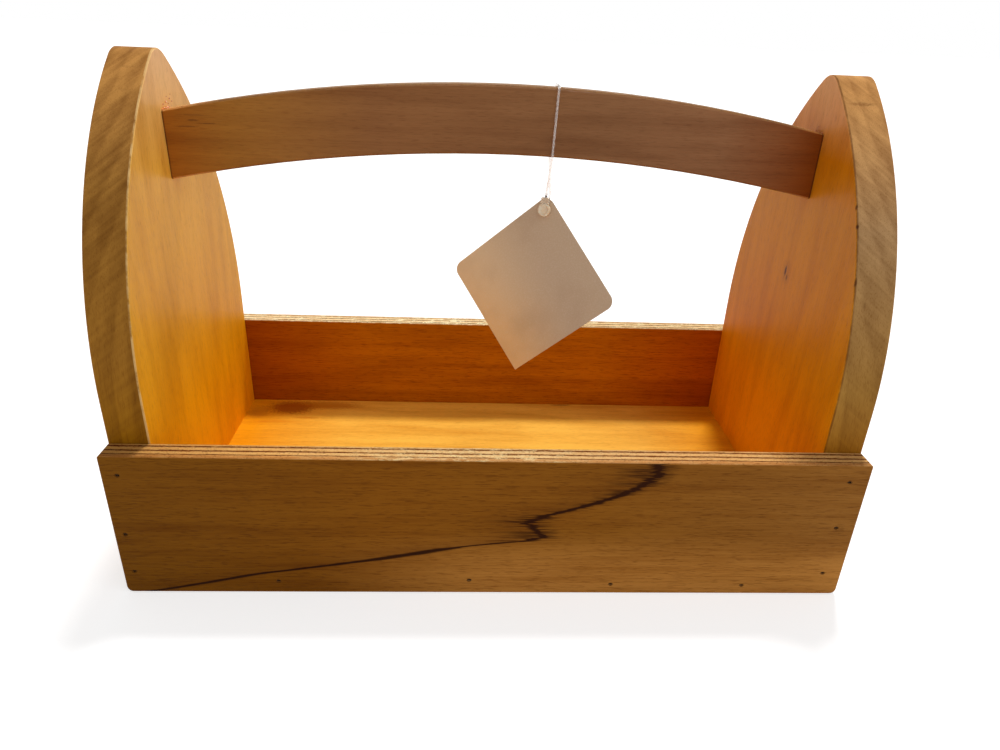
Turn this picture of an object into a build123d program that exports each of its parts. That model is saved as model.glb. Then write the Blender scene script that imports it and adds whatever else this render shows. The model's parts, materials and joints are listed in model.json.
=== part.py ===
"""A handmade wooden tote: two arched end boards, a floor board and two plywood
side panels, with an arched carrying handle and a card tag hung from it."""

import os
from math import asin, cos, degrees, pi, radians, sin, sqrt

from build123d import *

os.makedirs("parts", exist_ok=True)

# X runs along the tote, Y from front to back and Z up.  The origin is on the
# ground under the middle of the tote.

# ---- driving sizes, millimetres and degrees --------------------------------

tote_length = 355.6        # over the outer faces of the end boards, 14 in
end_width = 155.6          # end board from front to back, 6 1/8 in
end_thickness = 19.05      # 3/4 in board
end_side_height = 98.0     # where the straight side of an end turns into the arch
end_arc_radius = 177.8     # each side of the pointed arch, 7 in
end_tip_radius = 13.0      # rounding of the arch's point

panel_height = 77.8        # plywood front and back, 3 1/16 in
panel_thickness = 12.0     # 1/2 in plywood
panel_foot_radius = 3.0    # rounded lower corners of a panel
panel_top_radius = 1.2     # upper corners, barely rounded
floor_thickness = 19.05    # 3/4 in board

handle_height = 31.75      # 1 1/4 in
handle_thickness = 12.0    # 1/2 in plywood
handle_arc_radius = 762.0  # top and bottom edges are both cut to 30 in
handle_top = 232.2         # top of the handle at mid length
edge_ease = 0.6            # edges of the boards, sanded off at 45 degrees
handle_ease = 0.9          # the same on the handle

brad_length = 31.75        # 1 1/4 in gun brads hold the panels
brad_width = 1.3
brad_thickness = 1.1
brad_head_width = 2.0
brad_head_height = 0.9
brad_set = 0.6             # heads are driven this far below the surface
nail_length = 38.1         # 1 1/2 in gun nails hold the floor board and the handle
nail_width = 1.8
nail_thickness = 1.6
nail_head_width = 3.0
nail_head_height = 1.2
nail_set = 0.8
handle_nail_spacing = 15.0 # one above the other at each end of the handle

tag_side = 66.0            # square card
tag_thickness = 0.6
tag_corner_radius = 5.0    # three corners are rounded, the lowest one is sharp
tag_hole_radius = 1.5
tag_hole_inset = 6.0       # hole centre from the two edges at its corner
tag_turn = -27.7           # how far the hanging card has turned about the vertical
tag_lean = -13.7           # how far its lower corner stands forward
tag_tilt = -2.3            # how far it has swung in its own plane

loop_radius = 0.6          # clear nylon filament
loop_place = 25.0          # the loop hangs this far right of mid length
loop_drop = 27.2           # from the underside of the handle to the pivot in the tag
loop_bend_radius = 2.4     # tightest bend, where the filament turns into the tag
loop_ease_radius = 4.0     # slight bends where it leaves the handle
loop_lead = 4.0            # straight run out of the lock's socket
loop_rise_behind = 9.0     # straight run up behind the tag
lock_radius = 3.35         # round moulded lock in front of the tag
lock_thickness = 2.4
lock_bevel = 0.5
dish_radius = 2.3          # shallow dish in the lock's face
dish_depth = 0.4
socket_width = 4.6         # socket on top of the lock that the filament enters
socket_thickness = 1.9
socket_length = 3.0        # past the lock's rim

fastener_clearance = 0.05  # round a shank or a head in its hole
hole_tip_clearance = 0.4   # past a fastener's tip
running_clearance = 0.3    # between the loop, the handle, the tag and the lock

# ---- places worked out from those sizes ------------------------------------

half_length = tote_length / 2
inner_half_length = half_length - end_thickness
inner_length = 2 * inner_half_length
panel_front_y = -end_width / 2 - panel_thickness
panel_back_y = end_width / 2 + panel_thickness

# Brads as they were driven by eye: the share of the board's edge that they
# bite into, measured from outside, and the share of the panel's height.
front_left_spots = [(0.39, 0.873), (0.27, 0.449), (0.29, 0.166)]
front_right_spots = [(0.50, 0.879), (0.50, 0.537), (0.51, 0.176)]
back_left_spots = [(0.44, 0.865), (0.37, 0.520), (0.42, 0.190)]
back_right_spots = [(0.40, 0.880), (0.46, 0.480), (0.35, 0.172)]
# Brads along the floor: share of the tote's length and of the floor's edge.
front_floor_spots = [(0.207, 0.38), (0.470, 0.43), (0.670, 0.31), (0.859, 0.29)]
back_floor_spots = [(0.158, 0.36), (0.352, 0.41), (0.561, 0.33), (0.794, 0.39)]
# Nails through the ends: share of the end's width and of the floor's edge.
floor_nail_spots = [(0.17, 0.45), (0.51, 0.52), (0.84, 0.47)]


def left_spots(spots):
    """X and Z of fasteners over the edge of the left end."""
    return [(-half_length + share * end_thickness, up * panel_height) for share, up in spots]


def right_spots(spots):
    """X and Z of fasteners over the edge of the right end."""
    return [(half_length - share * end_thickness, up * panel_height) for share, up in spots]


def floor_spots(spots):
    """X and Z of fasteners over the long edge of the floor board."""
    return [(-half_length + share * tote_length, up * floor_thickness) for share, up in spots]


def facing_y(spots, y, outward):
    """Planes at the given X and Z on the face at y, looking out of it."""
    return [Plane(origin=(x, y, z), x_dir=(1, 0, 0), z_dir=(0, outward, 0)) for x, z in spots]


def facing_x(spots, x, outward):
    """Planes at the given Y and Z on the face at x, looking out of it."""
    return [Plane(origin=(x, y, z), x_dir=(0, 1, 0), z_dir=(outward, 0, 0)) for y, z in spots]


front_end_brads = left_spots(front_left_spots) + right_spots(front_right_spots)
back_end_brads = left_spots(back_left_spots) + right_spots(back_right_spots)
front_floor_brad_spots = floor_spots(front_floor_spots)
back_floor_brad_spots = floor_spots(back_floor_spots)
floor_nails = [
    (-end_width / 2 + share * end_width, up * floor_thickness) for share, up in floor_nail_spots
]

# The handle's edges are two equal arcs, one handle height apart.
arc_centre_z = handle_top - handle_arc_radius
handle_end_drop = handle_arc_radius - sqrt(handle_arc_radius**2 - inner_half_length**2)
handle_end_top = handle_top - handle_end_drop
handle_end_middle = handle_end_top - handle_height / 2
handle_nails = [
    (0, handle_end_middle - handle_nail_spacing / 2),
    (0, handle_end_middle + handle_nail_spacing / 2),
]

# Depth of each fastener's hole in the board that it bites into.
brad_bite = brad_length + brad_set - panel_thickness + hole_tip_clearance
nail_bite = nail_length + nail_set - end_thickness + hole_tip_clearance
slack = 2 * fastener_clearance

# ---- end boards ------------------------------------------------------------

arc_centre_y = end_width / 2 - end_arc_radius
apex_z = end_side_height + sqrt(end_arc_radius**2 - arc_centre_y**2)
shoulder_angle = degrees(asin((apex_z - end_side_height) / end_arc_radius)) / 2


def on_arch(side):
    """Y and Z of the point halfway up one side of the arch."""
    y = side * (arc_centre_y + end_arc_radius * cos(radians(shoulder_angle)))
    return (y, end_side_height + end_arc_radius * sin(radians(shoulder_angle)))


def end_board(outer_x, side, front_spots, back_spots):
    """One arched end: outer_x is its outer face, side is -1 left and +1 right."""
    half_width = end_width / 2
    with BuildPart() as board:
        with BuildSketch(Plane.YZ.offset(min(outer_x, outer_x - side * end_thickness))):
            with BuildLine():
                Polyline((-half_width, end_side_height), (-half_width, 0),
                         (half_width, 0), (half_width, end_side_height))
                right_arc = ThreePointArc((half_width, end_side_height), on_arch(1), (0, apex_z))
                ThreePointArc(right_arc @ 1, on_arch(-1), (-half_width, end_side_height))
            make_face()
        extrude(amount=end_thickness)
        tip = board.edges().filter_by(Axis.X).sort_by(Axis.Z)[-1]
        fillet(tip, radius=end_tip_radius)
        rim = board.faces().filter_by(Axis.X).edges().group_by(Axis.Z)[1:]
        chamfer([edge for group in rim for edge in group], length=edge_ease)
        with BuildSketch(*facing_y(front_spots, -half_width, -1),
                         *facing_y(back_spots, half_width, 1)):
            Rectangle(brad_width + slack, brad_thickness + slack)
        extrude(amount=-brad_bite, mode=Mode.SUBTRACT)
        with BuildSketch(*facing_x(floor_nails + handle_nails, outer_x, side)):
            Rectangle(nail_width + slack, nail_thickness + slack)
        extrude(amount=-end_thickness, mode=Mode.SUBTRACT)
        with BuildSketch(*facing_x(floor_nails + handle_nails, outer_x, side)):
            Rectangle(nail_head_width + slack, nail_thickness + slack)
        extrude(amount=-nail_set - nail_head_height, mode=Mode.SUBTRACT)
    return board.part


with BuildPart() as left_end_panel:
    add(end_board(-half_length, -1, left_spots(front_left_spots), left_spots(back_left_spots)))
left_end_panel.part.label = "left_end_panel"
export_step(left_end_panel.part, "parts/left_end_panel.step")

with BuildPart() as right_end_panel:
    add(end_board(half_length, 1, right_spots(front_right_spots), right_spots(back_right_spots)))
right_end_panel.part.label = "right_end_panel"
export_step(right_end_panel.part, "parts/right_end_panel.step")

# ---- plywood side panels ---------------------------------------------------


def side_panel(inner_y, outward, spots):
    """A plywood panel nailed over the ends and the floor board, bored for its brads."""
    outer_y = inner_y + outward * panel_thickness
    with BuildPart() as panel:
        with BuildSketch(Plane.XZ.offset(-max(inner_y, outer_y))):
            with Locations((0, panel_height / 2)):
                Rectangle(tote_length, panel_height)
        extrude(amount=panel_thickness)
        corners = panel.edges().filter_by(Axis.Y).group_by(Axis.Z)
        fillet(corners[0], radius=panel_foot_radius)
        fillet(corners[-1], radius=panel_top_radius)
        chamfer(panel.faces().filter_by(Axis.Y).edges(), length=edge_ease)
        with BuildSketch(*facing_y(spots, outer_y, outward)):
            Rectangle(brad_width + slack, brad_thickness + slack)
        extrude(amount=-panel_thickness, mode=Mode.SUBTRACT)
        with BuildSketch(*facing_y(spots, outer_y, outward)):
            Rectangle(brad_head_width + slack, brad_thickness + slack)
        extrude(amount=-brad_set - brad_head_height, mode=Mode.SUBTRACT)
    return panel.part


with BuildPart() as front_panel:
    add(side_panel(-end_width / 2, -1, front_end_brads + front_floor_brad_spots))
front_panel.part.label = "front_panel"
export_step(front_panel.part, "parts/front_panel.step")

with BuildPart() as back_panel:
    add(side_panel(end_width / 2, 1, back_end_brads + back_floor_brad_spots))
back_panel.part.label = "back_panel"
export_step(back_panel.part, "parts/back_panel.step")

# ---- floor board -----------------------------------------------------------

with BuildPart() as floor_board:
    with BuildSketch(Plane.XY):
        Rectangle(inner_length, end_width)
    extrude(amount=floor_thickness)
    with BuildSketch(*facing_y(front_floor_brad_spots, -end_width / 2, -1),
                     *facing_y(back_floor_brad_spots, end_width / 2, 1)):
        Rectangle(brad_width + slack, brad_thickness + slack)
    extrude(amount=-brad_bite, mode=Mode.SUBTRACT)
    with BuildSketch(*facing_x(floor_nails, -inner_half_length, -1),
                     *facing_x(floor_nails, inner_half_length, 1)):
        Rectangle(nail_width + slack, nail_thickness + slack)
    extrude(amount=-nail_bite, mode=Mode.SUBTRACT)
floor_board.part.label = "floor_board"
export_step(floor_board.part, "parts/floor_board.step")

# ---- handle ----------------------------------------------------------------

with BuildPart() as handle:
    with BuildSketch(Plane.XZ.offset(-handle_thickness / 2)):
        with BuildLine():
            top_arc = ThreePointArc((-inner_half_length, handle_end_top), (0, handle_top),
                                    (inner_half_length, handle_end_top))
            Line(top_arc @ 1, (inner_half_length, handle_end_top - handle_height))
            bottom_arc = ThreePointArc((inner_half_length, handle_end_top - handle_height),
                                       (0, handle_top - handle_height),
                                       (-inner_half_length, handle_end_top - handle_height))
            Line(bottom_arc @ 1, top_arc @ 0)
        make_face()
    extrude(amount=handle_thickness)
    chamfer(handle.edges().filter_by(GeomType.CIRCLE), length=handle_ease)
    with BuildSketch(*facing_x(handle_nails, -inner_half_length, -1),
                     *facing_x(handle_nails, inner_half_length, 1)):
        Rectangle(nail_width + slack, nail_thickness + slack)
    extrude(amount=-nail_bite, mode=Mode.SUBTRACT)
handle.part.label = "handle"
export_step(handle.part, "parts/handle.step")

# ---- brads and nails -------------------------------------------------------


def flat_nail(length, width, thickness, head_width, head_height):
    """A nail of flattened wire on the Z axis, its head's top at the origin, with a chisel point."""
    with BuildPart() as nail:
        with BuildSketch(Plane.XY):
            Rectangle(head_width, thickness)
        extrude(amount=-head_height)
        with BuildSketch(Plane.XY.offset(-head_height)):
            Rectangle(width, thickness)
        extrude(amount=head_height - length)
        point = nail.faces().sort_by(Axis.Z)[0].edges().filter_by(Axis.X)
        chamfer(point, length=0.4 * thickness)
    return nail.part


brad = flat_nail(brad_length, brad_width, brad_thickness, brad_head_width, brad_head_height)
nail = flat_nail(nail_length, nail_width, nail_thickness, nail_head_width, nail_head_height)
brad_front_y = panel_front_y + brad_set
brad_back_y = panel_back_y - brad_set

fastener_groups = [
    ("front_left_brads", brad, facing_y(left_spots(front_left_spots), brad_front_y, -1)),
    ("front_right_brads", brad, facing_y(right_spots(front_right_spots), brad_front_y, -1)),
    ("front_floor_brads", brad, facing_y(front_floor_brad_spots, brad_front_y, -1)),
    ("back_left_brads", brad, facing_y(left_spots(back_left_spots), brad_back_y, 1)),
    ("back_right_brads", brad, facing_y(right_spots(back_right_spots), brad_back_y, 1)),
    ("back_floor_brads", brad, facing_y(back_floor_brad_spots, brad_back_y, 1)),
    ("left_floor_nails", nail, facing_x(floor_nails, nail_set - half_length, -1)),
    ("right_floor_nails", nail, facing_x(floor_nails, half_length - nail_set, 1)),
    ("left_handle_nails", nail, facing_x(handle_nails, nail_set - half_length, -1)),
    ("right_handle_nails", nail, facing_x(handle_nails, half_length - nail_set, 1)),
]

for name, fastener, planes in fastener_groups:
    with BuildPart() as group:
        with Locations(*planes):
            add(fastener)
    group.part.label = name
    export_step(group.part, f"parts/{name}.step")

# ---- hang tag --------------------------------------------------------------

# The pivot is where the filament passes through the tag.  It hangs on a radius
# of the handle's arc, so that the loop can slide along the handle about the
# centre of that arc.
arc_centre = Vector(0, 0, arc_centre_z)
pivot_distance = handle_arc_radius - handle_height - loop_drop
loop_angle = asin(loop_place / pivot_distance)
loop_radial = Vector(sin(loop_angle), 0, cos(loop_angle))
pivot = arc_centre + loop_radial * pivot_distance

# The axes that the card hangs in: to the right, out of its face and up.
turn = radians(tag_turn)
lean = radians(tag_lean)
tilt = radians(tag_tilt)
card_right = Vector(cos(turn), sin(turn), 0)
card_front = Vector(sin(turn) * cos(lean), -cos(turn) * cos(lean), -sin(lean))
card_up = card_front.cross(card_right)
card_side = card_right * cos(tilt) + card_up * sin(tilt)
hole_drop = tag_hole_radius - loop_radius - running_clearance
card_middle_drop = hole_drop + (tag_side / 2 - tag_hole_inset) * sqrt(2)

with BuildPart() as hang_tag:
    with BuildSketch(Plane(origin=pivot, x_dir=card_side, z_dir=card_front)) as card:
        with Locations((0, -card_middle_drop)):
            Rectangle(tag_side, tag_side, rotation=45)
        fillet(card.vertices().sort_by(Axis.Y)[1:], radius=tag_corner_radius)
        with Locations((0, -hole_drop)):
            Circle(tag_hole_radius, mode=Mode.SUBTRACT)
    extrude(amount=tag_thickness / 2, both=True)
hang_tag.part.label = "hang_tag"
export_step(hang_tag.part, "parts/hang_tag.step")

# ---- lock and filament loop ------------------------------------------------

lock_back = tag_thickness / 2 + running_clearance
lock_middle = lock_back + lock_thickness / 2
socket_top = lock_radius + socket_length

with BuildPart() as loop_lock:
    with BuildSketch(Plane(origin=pivot + card_front * lock_back,
                           x_dir=card_right, z_dir=card_front)):
        Circle(lock_radius)
    extrude(amount=lock_thickness)
    lock_face = loop_lock.faces().sort_by(Axis(pivot, card_front))[-1]
    chamfer(lock_face.edges(), length=lock_bevel)
    with BuildSketch(Plane(origin=pivot + card_front * lock_middle,
                           x_dir=card_right, z_dir=card_up)):
        RectangleRounded(socket_width, socket_thickness, socket_thickness / 3)
    extrude(amount=socket_top)
    with BuildSketch(Plane(origin=pivot + card_front * (lock_back + lock_thickness),
                           x_dir=card_right, z_dir=card_front)):
        Circle(dish_radius)
    extrude(amount=-dish_depth, mode=Mode.SUBTRACT)
loop_lock.part.label = "loop_lock"
export_step(loop_lock.part, "parts/loop_lock.step")

# The filament starts on top of the lock's socket, goes up the front of the
# handle, over it and down its back, and comes through the tag from behind to
# the back of the lock.
strand_y = handle_thickness / 2 + running_clearance + loop_radius
underside_distance = (
    sqrt(handle_arc_radius**2 - (handle_height * sin(loop_angle)) ** 2)
    - handle_height * cos(loop_angle)
)
over_distance = handle_arc_radius + running_clearance + loop_radius
behind_tag = tag_thickness / 2 + running_clearance + loop_bend_radius


def round_handle(y, distance):
    """Point in the plane of the loop, at this distance from the arc's centre."""
    return arc_centre + loop_radial * distance + Vector(0, y, 0)


def by_card(up, front):
    """Point over the card's centre line, measured from the pivot."""
    return pivot + card_up * up + card_front * front


loop_points = [
    by_card(socket_top, lock_middle),
    by_card(socket_top + loop_lead, lock_middle),
    round_handle(-strand_y, underside_distance),
    round_handle(-strand_y, over_distance),
    round_handle(strand_y, over_distance),
    round_handle(strand_y, underside_distance),
    by_card(loop_rise_behind, -behind_tag),
    by_card(0, -behind_tag),
    by_card(0, lock_back),
]
over_radius = handle_ease + running_clearance + loop_radius
loop_radii = [loop_ease_radius, loop_ease_radius, over_radius, over_radius,
              loop_ease_radius, loop_ease_radius, loop_bend_radius]

with BuildPart() as tag_loop:
    with BuildLine() as loop_line:
        FilletPolyline(*loop_points, radius=loop_radii)
    with BuildSketch(Plane(origin=loop_line.line @ 0, z_dir=loop_line.line % 0)):
        Circle(loop_radius)
    sweep()
tag_loop.part.label = "tag_loop"
export_step(tag_loop.part, "parts/tag_loop.step")

for point, bend in zip(loop_points[1:-1], loop_radii):
    print(f"loop bend at z {point.Z:.1f}: radius {bend:.1f}")
loop_length = sum(edge.length for edge in loop_line.edges())
section = pi * loop_radius**2
print(f"loop: length {loop_length:.1f}, volume {tag_loop.part.volume:.2f},"
      f" section times length {section * loop_length:.2f}")
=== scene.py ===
import json
import math

import bmesh
import bpy
from mathutils import Matrix, Vector


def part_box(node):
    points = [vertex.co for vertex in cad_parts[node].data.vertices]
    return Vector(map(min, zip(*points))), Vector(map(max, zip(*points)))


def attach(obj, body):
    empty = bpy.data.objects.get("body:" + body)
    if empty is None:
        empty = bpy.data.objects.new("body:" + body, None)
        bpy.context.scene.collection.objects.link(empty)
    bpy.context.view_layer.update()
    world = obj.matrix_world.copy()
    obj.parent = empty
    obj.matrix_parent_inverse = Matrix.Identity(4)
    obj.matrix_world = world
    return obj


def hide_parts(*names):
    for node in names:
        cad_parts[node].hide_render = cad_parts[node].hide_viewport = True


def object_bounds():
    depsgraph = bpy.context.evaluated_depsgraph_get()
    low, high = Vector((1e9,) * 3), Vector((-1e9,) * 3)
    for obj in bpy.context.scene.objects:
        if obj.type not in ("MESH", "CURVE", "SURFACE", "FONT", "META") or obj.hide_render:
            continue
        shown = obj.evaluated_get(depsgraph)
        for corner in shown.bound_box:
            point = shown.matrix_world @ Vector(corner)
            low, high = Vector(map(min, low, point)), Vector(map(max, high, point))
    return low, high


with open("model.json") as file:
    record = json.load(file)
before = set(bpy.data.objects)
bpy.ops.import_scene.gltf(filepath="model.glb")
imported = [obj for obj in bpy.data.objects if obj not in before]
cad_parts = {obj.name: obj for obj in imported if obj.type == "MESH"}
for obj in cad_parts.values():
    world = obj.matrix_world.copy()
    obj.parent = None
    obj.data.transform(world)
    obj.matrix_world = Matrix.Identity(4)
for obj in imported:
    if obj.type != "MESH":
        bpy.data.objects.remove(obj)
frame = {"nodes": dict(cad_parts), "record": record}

scene = bpy.context.scene
nodes = frame["nodes"]
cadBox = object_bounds()
print("frame loaded:", len(nodes), "nodes")

# the camera stands low over the front edge and looks down into the tray
camera = {
    "place": (-0.01544, -0.36932, 0.25603),
    "right": (0.99855, -0.03777, 0.03845),
    "up": (-0.01827, 0.43393, 0.90076),
    "lens": 25.997,
    "sensor": 36.0,
}


def makeCamera(spec):
    data = bpy.data.cameras.new("camera")
    data.sensor_fit = "HORIZONTAL"
    data.sensor_width = spec["sensor"]
    data.lens = spec["lens"]
    data.clip_start = 0.01
    data.clip_end = 50.0
    right = Vector(spec["right"]).normalized()
    back = right.cross(Vector(spec["up"])).normalized()
    up = back.cross(right)
    turn = Matrix((right, up, back)).transposed().to_4x4()
    cameraObject = bpy.data.objects.new("camera", data)
    cameraObject.matrix_world = Matrix.Translation(spec["place"]) @ turn
    scene.collection.objects.link(cameraObject)
    scene.camera = cameraObject


makeCamera(camera)
scene.view_settings.view_transform = "Standard"
print("camera set")


def linear(red, green, blue):
    # a colour as a screen shows it, 0 to 255, made linear
    def one(part):
        part /= 255
        return part / 12.92 if part <= 0.04045 else ((part + 0.055) / 1.055) ** 2.4
    return (one(red), one(green), one(blue), 1.0)


white = (1.0, 1.0, 1.0, 1.0)


def addNode(tree, kind, **settings):
    node = tree.nodes.new(kind)
    for key, value in settings.items():
        setattr(node, key, value)
    return node


def plug(tree, source, target):
    # a number or a colour is written on the socket, and anything else is linked
    if isinstance(source, (int, float, tuple, list, Vector)):
        target.default_value = source
    else:
        tree.links.new(source, target)


def calc(tree, operation, a, b=0.0, c=None, clamp=False):
    node = addNode(tree, "ShaderNodeMath", operation=operation, use_clamp=clamp)
    plug(tree, a, node.inputs[0])
    plug(tree, b, node.inputs[1])
    if c is not None:
        plug(tree, c, node.inputs[2])
    return node.outputs[0]


def ramp(tree, value, low, high, fromZero=0.0, toOne=1.0):
    # goes smoothly from fromZero at low to toOne at high
    node = addNode(tree, "ShaderNodeMapRange", clamp=True, interpolation_type="SMOOTHSTEP")
    plug(tree, value, node.inputs["Value"])
    plug(tree, low, node.inputs["From Min"])
    plug(tree, high, node.inputs["From Max"])
    plug(tree, fromZero, node.inputs["To Min"])
    plug(tree, toOne, node.inputs["To Max"])
    return node.outputs[0]


def mixColour(tree, factor, a, b, blendType="MIX"):
    node = addNode(tree, "ShaderNodeMix", data_type="RGBA", blend_type=blendType)
    plug(tree, factor, node.inputs["Factor"])
    plug(tree, a, node.inputs[6])
    plug(tree, b, node.inputs[7])
    return node.outputs[2]


def shadeColour(tree, tone, colour, tint):
    # the tint is what the colour is multiplied by where the tone is 1
    return mixColour(tree, 1.0, colour, mixColour(tree, tone, white, tint), "MULTIPLY")


def colourAlong(tree, value, stops):
    # stops are (metres, colour), lowest first
    low, high = stops[0][0], stops[-1][0]
    share = addNode(tree, "ShaderNodeMapRange", clamp=True)
    plug(tree, value, share.inputs["Value"])
    plug(tree, low, share.inputs["From Min"])
    plug(tree, high, share.inputs["From Max"])
    node = addNode(tree, "ShaderNodeValToRGB")
    elements = node.color_ramp.elements
    for index, (at, colour) in enumerate(stops):
        position = (at - low) / (high - low)
        if index in (0, len(stops) - 1):
            element = elements[0 if index == 0 else -1]
            element.position = position
        else:
            element = elements.new(position)
        element.color = colour
    plug(tree, share.outputs[0], node.inputs[0])
    return node.outputs[0]


def vectorOf(tree, x, y, z):
    node = addNode(tree, "ShaderNodeCombineXYZ")
    for socket, value in zip(node.inputs, (x, y, z)):
        plug(tree, value, socket)
    return node.outputs[0]


def splitVector(tree, vector):
    node = addNode(tree, "ShaderNodeSeparateXYZ")
    plug(tree, vector, node.inputs[0])
    return node.outputs


def noise(tree, vector, size, detail=2.0, roughness=0.5):
    # size is how many metres one blotch takes on each axis
    stretch = addNode(tree, "ShaderNodeVectorMath", operation="DIVIDE")
    plug(tree, vector, stretch.inputs[0])
    plug(tree, size, stretch.inputs[1])
    node = addNode(tree, "ShaderNodeTexNoise")
    plug(tree, stretch.outputs[0], node.inputs["Vector"])
    node.inputs["Scale"].default_value = 1.0
    node.inputs["Detail"].default_value = detail
    node.inputs["Roughness"].default_value = roughness
    return node.outputs["Fac"]


def swing(tree, value, reach, base=0.0):
    # a noise value centred on zero, times reach, plus base
    return calc(tree, "MULTIPLY_ADD", calc(tree, "SUBTRACT", value, 0.5), reach, base)


def newGroup(name, inputs, outputs):
    group = bpy.data.node_groups.new(name, "ShaderNodeTree")
    for socketName, kind, value in inputs:
        socket = group.interface.new_socket(socketName, in_out="INPUT", socket_type=kind)
        if value is not None:
            socket.default_value = value
    for socketName, kind in outputs:
        group.interface.new_socket(socketName, in_out="OUTPUT", socket_type=kind)
    return group, addNode(group, "NodeGroupInput").outputs, addNode(group, "NodeGroupOutput").inputs


def useGroup(tree, group, values):
    node = addNode(tree, "ShaderNodeGroup", node_tree=group)
    for key, value in values.items():
        plug(tree, value, node.inputs[key])
    return node.outputs


def newMaterial(name):
    material = bpy.data.materials.new(name)
    material.use_nodes = True
    tree = material.node_tree
    tree.nodes.clear()
    output = addNode(tree, "ShaderNodeOutputMaterial")
    shader = addNode(tree, "ShaderNodeBsdfPrincipled")
    tree.links.new(shader.outputs[0], output.inputs["Surface"])
    place = addNode(tree, "ShaderNodeTexCoord").outputs["Object"]
    return material, tree, shader, place


def addBump(tree, shader, height, strength, distance):
    node = addNode(tree, "ShaderNodeBump")
    node.inputs["Strength"].default_value = strength
    node.inputs["Distance"].default_value = distance
    plug(tree, height, node.inputs["Height"])
    tree.links.new(node.outputs[0], shader.inputs["Normal"])


def dress(name, material):
    mesh = nodes[name].data
    mesh.materials.clear()
    mesh.materials.append(material)


# Wood has its grain along X of the vector that it is given, in metres.
def makeGrainGroup():
    group, given, out = newGroup(
        "woodGrain",
        [("Vector", "NodeSocketVector", None), ("Ring Width", "NodeSocketFloat", 0.006),
         ("Wander", "NodeSocketFloat", 0.004)],
        [("Figure", "NodeSocketFloat"), ("Bands", "NodeSocketFloat"), ("Streaks", "NodeSocketFloat"),
         ("Pores", "NodeSocketFloat"), ("Blotches", "NodeSocketFloat")])
    vector = given["Vector"]
    y, z = splitVector(group, vector)[1:]
    # growth rings round a pith that wanders along the board
    slow = noise(group, vector, (0.16, 0.05, 0.05), 2.0, 0.45)
    quick = noise(group, vector, (0.045, 0.012, 0.012), 2.0, 0.5)
    sway = swing(group, quick, 0.25, calc(group, "SUBTRACT", slow, 0.5))
    shift = calc(group, "MULTIPLY", sway, given["Wander"])
    ringY = calc(group, "ADD", y, shift)
    ringZ = calc(group, "ADD", z, shift)
    squares = calc(group, "MULTIPLY_ADD", ringY, ringY, calc(group, "MULTIPLY", ringZ, ringZ))
    turns = calc(group, "DIVIDE", calc(group, "SQRT", squares), given["Ring Width"])
    part = calc(group, "FRACT", turns)
    # each ring deepens slowly to its dark late wood and then starts again
    rise = ramp(group, part, 0.15, 0.80)
    fall = ramp(group, part, 0.80, 1.0)
    plug(group, calc(group, "SUBTRACT", rise, fall, clamp=True), out["Figure"])
    plug(group, noise(group, vector, (0.150, 0.0060, 0.0060), 2.0, 0.5), out["Bands"])
    plug(group, noise(group, vector, (0.030, 0.0010, 0.0010), 3.0, 0.6), out["Streaks"])
    fine = noise(group, vector, (0.0055, 0.00040, 0.00040), 1.0, 0.5)
    plug(group, ramp(group, fine, 0.54, 0.70), out["Pores"])
    plug(group, noise(group, vector, (0.090, 0.022, 0.022), 3.0, 0.55), out["Blotches"])
    return group


# A soft spot with a ragged outline, for knots, stains and chips.
def makeSpotGroup():
    group, given, out = newGroup(
        "softSpot",
        [("Vector", "NodeSocketVector", None), ("Centre", "NodeSocketVector", None),
         ("Reach", "NodeSocketVector", None)],
        [("Mask", "NodeSocketFloat")])
    away = addNode(group, "ShaderNodeVectorMath", operation="SUBTRACT")
    plug(group, given["Vector"], away.inputs[0])
    plug(group, given["Centre"], away.inputs[1])
    share = addNode(group, "ShaderNodeVectorMath", operation="DIVIDE")
    plug(group, away.outputs[0], share.inputs[0])
    plug(group, given["Reach"], share.inputs[1])
    length = addNode(group, "ShaderNodeVectorMath", operation="LENGTH")
    plug(group, share.outputs[0], length.inputs[0])
    ragged = noise(group, given["Vector"], (0.0016, 0.0016, 0.0016), 2.0, 0.6)
    plug(group, ramp(group, swing(group, ragged, 0.7, length.outputs["Value"]), 1.0, 0.35), out["Mask"])
    return group


woodGrain = makeGrainGroup()
softSpot = makeSpotGroup()
print("shared effects made")


def grainOf(tree, vector, ringWidth, wander):
    return useGroup(tree, woodGrain, {"Vector": vector, "Ring Width": ringWidth, "Wander": wander})


def metres(millimetres):
    return tuple(part / 1000 for part in millimetres)


def addSpots(tree, place, colour, spots):
    # each spot is its centre and its reach in millimetres, its depth and its colour
    for centre, reach, depth, spotColour in spots:
        mask = useGroup(tree, softSpot, {"Vector": place, "Centre": metres(centre),
                                         "Reach": metres(reach)})["Mask"]
        colour = mixColour(tree, calc(tree, "MULTIPLY", mask, depth), colour, spotColour)
    return colour


def spotsMask(tree, place, centres, reach):
    # one mask for many like spots
    whole = None
    for centre in centres:
        mask = useGroup(tree, softSpot, {"Vector": place, "Centre": metres(centre),
                                         "Reach": metres(reach)})["Mask"]
        whole = mask if whole is None else calc(tree, "MAXIMUM", whole, mask)
    return whole


def withinOne(tree, value):
    return calc(tree, "MAXIMUM", calc(tree, "MINIMUM", value, 1.0), 0.0)


def toneOf(tree, grain, weights):
    # how dark the wood is, from 0 to 1
    tone = calc(tree, "MULTIPLY_ADD", grain["Figure"], weights["figure"], weights["base"])
    tone = swing(tree, grain["Bands"], weights["bands"], tone)
    tone = swing(tree, grain["Streaks"], weights["streaks"], tone)
    tone = swing(tree, grain["Blotches"], weights["blotches"], tone)
    return withinOne(tree, tone)


def grainHeight(tree, grain):
    # the pores are sunk and the streaks stand up a little
    return calc(tree, "MULTIPLY_ADD", grain["Pores"], -0.6, grain["Streaks"])


boardThickness = 0.01905

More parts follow.
